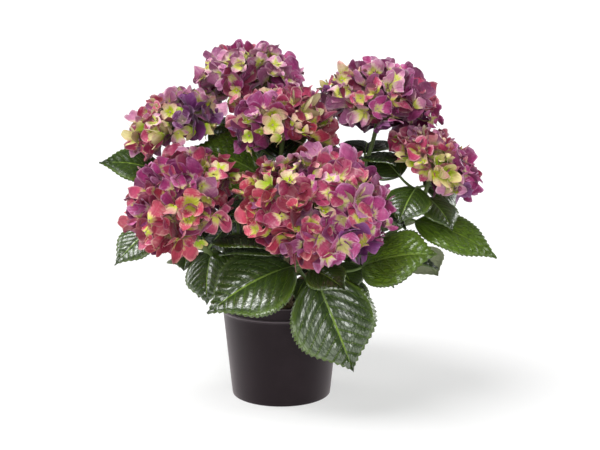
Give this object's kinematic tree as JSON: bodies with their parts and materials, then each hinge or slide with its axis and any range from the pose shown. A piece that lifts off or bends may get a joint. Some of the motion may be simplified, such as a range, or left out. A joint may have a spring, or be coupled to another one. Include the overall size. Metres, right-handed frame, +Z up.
{
  "type": "potted hydrangea shrub",
  "caption": "Bushy mophead hydrangea in bloom, rooted in a round tapered pot with drainage channels; stands on its flat underside as a patio or garden plant.",
  "frame": {"origin": "on the ground, at the middle of the pot's flat underside", "axes": "+Z up along the pot's axis; -Y is the front of the bush as pictured, +X is to the right seen from the front"},
  "size_m": [0.4541, 0.3894, 0.413],
  "materials": {
    "pot": "dark aubergine-grey moulded plastic, fine matt grain",
    "soil": "damp dark bark compost, matt",
    "crown": "peeling brown bark",
    "cane": "green bark with fine brown spots",
    "leaf": "dark green, waxy, with sunken lighter veins",
    "sepal_rose": "coral to rose sepals round lime ones, matt and soft",
    "sepal_mauve": "mauve and magenta sepals, matt and soft",
    "sepal_violet": "violet sepals with lime ones, matt and soft",
    "sepal_lime": "lime and cream sepals edged with pink, matt and soft"
  },
  "bodies": {
    "root": {"pot": "pot", "soil": "soil", "crown": "crown", "cane_front": "cane", "leaves_front": "leaf", "bloom_front": "sepal_rose", "cane_left": "cane", "leaves_left": "leaf", "bloom_left": "sepal_rose", "cane_upper_left": "cane", "leaves_upper_left": "leaf", "bloom_upper_left": "sepal_violet", "cane_top": "cane", "leaves_top": "leaf", "bloom_top": "sepal_mauve", "cane_middle": "cane", "leaves_middle": "leaf", "bloom_middle": "sepal_lime", "cane_upper_right": "cane", "leaves_upper_right": "leaf", "bloom_upper_right": "sepal_mauve", "cane_right": "cane", "leaves_right": "leaf", "bloom_right": "sepal_lime", "cane_back_left": "cane", "leaves_back_left": "leaf", "bloom_back_left": "sepal_mauve", "cane_back_right": "cane", "leaves_back_right": "leaf", "bloom_back_right": "sepal_rose", "cane_low_left": "cane", "leaves_low_left": "leaf", "cane_low_right": "cane", "leaves_low_right": "leaf", "cane_low_back": "cane", "leaves_low_back": "leaf", "cane_low_right_back": "cane", "leaves_low_right_back": "leaf"}
  },
  "joints": []
}
